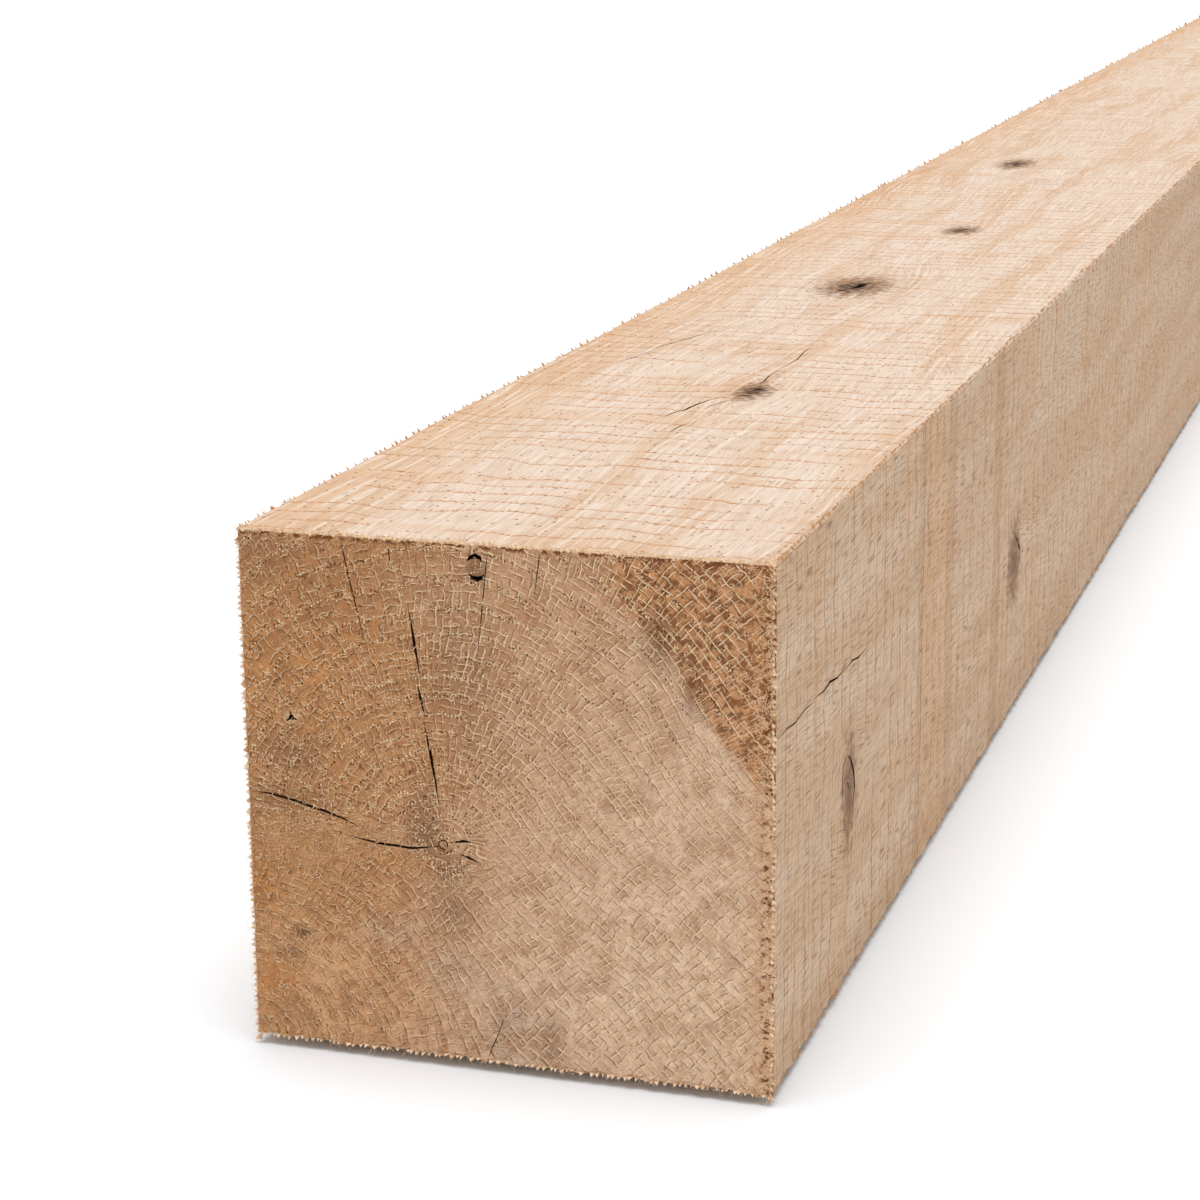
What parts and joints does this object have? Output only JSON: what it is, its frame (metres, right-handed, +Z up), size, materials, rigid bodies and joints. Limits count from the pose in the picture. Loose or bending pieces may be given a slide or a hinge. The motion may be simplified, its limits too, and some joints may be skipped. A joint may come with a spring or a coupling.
{
  "type": "oak post",
  "caption": "Straight square post of rough-sawn oak, with drying checks round the pith on one end, sound knots and sharp furry arrises.",
  "frame": {"origin": "centre of the underside, the long side that the post lies on", "axes": "+X along the post, from the checked near end to the plain far end; +Z up; +Y towards the left face as seen from the near end"},
  "size_m": [2.4, 0.15, 0.15],
  "materials": {
    "sawn_oak": "rough sawn, unfinished"
  },
  "bodies": {
    "root": {"oak_post": "sawn_oak"}
  },
  "joints": []
}
